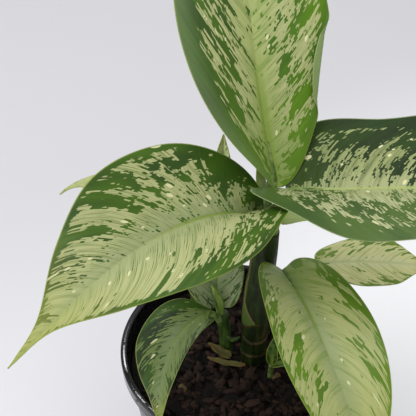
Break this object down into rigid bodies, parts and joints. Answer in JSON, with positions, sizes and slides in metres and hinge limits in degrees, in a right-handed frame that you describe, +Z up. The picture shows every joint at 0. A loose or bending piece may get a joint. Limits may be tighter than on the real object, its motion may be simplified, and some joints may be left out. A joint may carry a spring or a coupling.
{
  "type": "potted dieffenbachia",
  "caption": "Young variegated dieffenbachia with broad waved leaves, a side shoot and a back shoot, rooted in potting mix in a round black nursery pot",
  "frame": {"origin": "middle of the pot's flat underside", "axes": "+Z up, -Y the front that faces the viewer, +X the right as seen from the front"},
  "size_m": [0.265, 0.249, 0.3756],
  "materials": {
    "pot": "black moulded plastic, satin gloss",
    "soil": "moist potting mix with bark chips, matt",
    "stem": "live green stalk skin, satin",
    "leaf_top": "live blade, waxy, mid green with pale yellow-green streaks",
    "leaf_left": "live blade, waxy, pale yellow-green centre with mid-green edges",
    "leaf_right": "live blade, waxy, dark green with pale streaks and dots",
    "leaf_front": "live blade, waxy, pale grey-green centre with green margins",
    "leaf_pale": "live blade, waxy, pale yellow-green",
    "leaf_low": "live blade, waxy, mid green with pale streaks",
    "leaf_young": "young blade, satin, pale grey-green stripes",
    "leaf_new": "rolled young blade, satin",
    "husk": "dry papery sheath, matt"
  },
  "bodies": {
    "root": {"pot": "pot", "soil": "soil", "stem_main": "stem", "stem_side": "stem", "stem_back": "stem", "leaf_top": "leaf_top", "leaf_left": "leaf_left", "leaf_right": "leaf_right", "leaf_front": "leaf_front", "leaf_low_right": "leaf_pale", "leaf_low_left": "leaf_low", "leaf_shoot": "leaf_young", "leaf_back_left": "leaf_pale", "leaf_back": "leaf_pale", "leaf_rolled": "leaf_new", "plantlet": "leaf_new", "husk_upper": "husk", "husk_lower": "husk"}
  },
  "joints": []
}
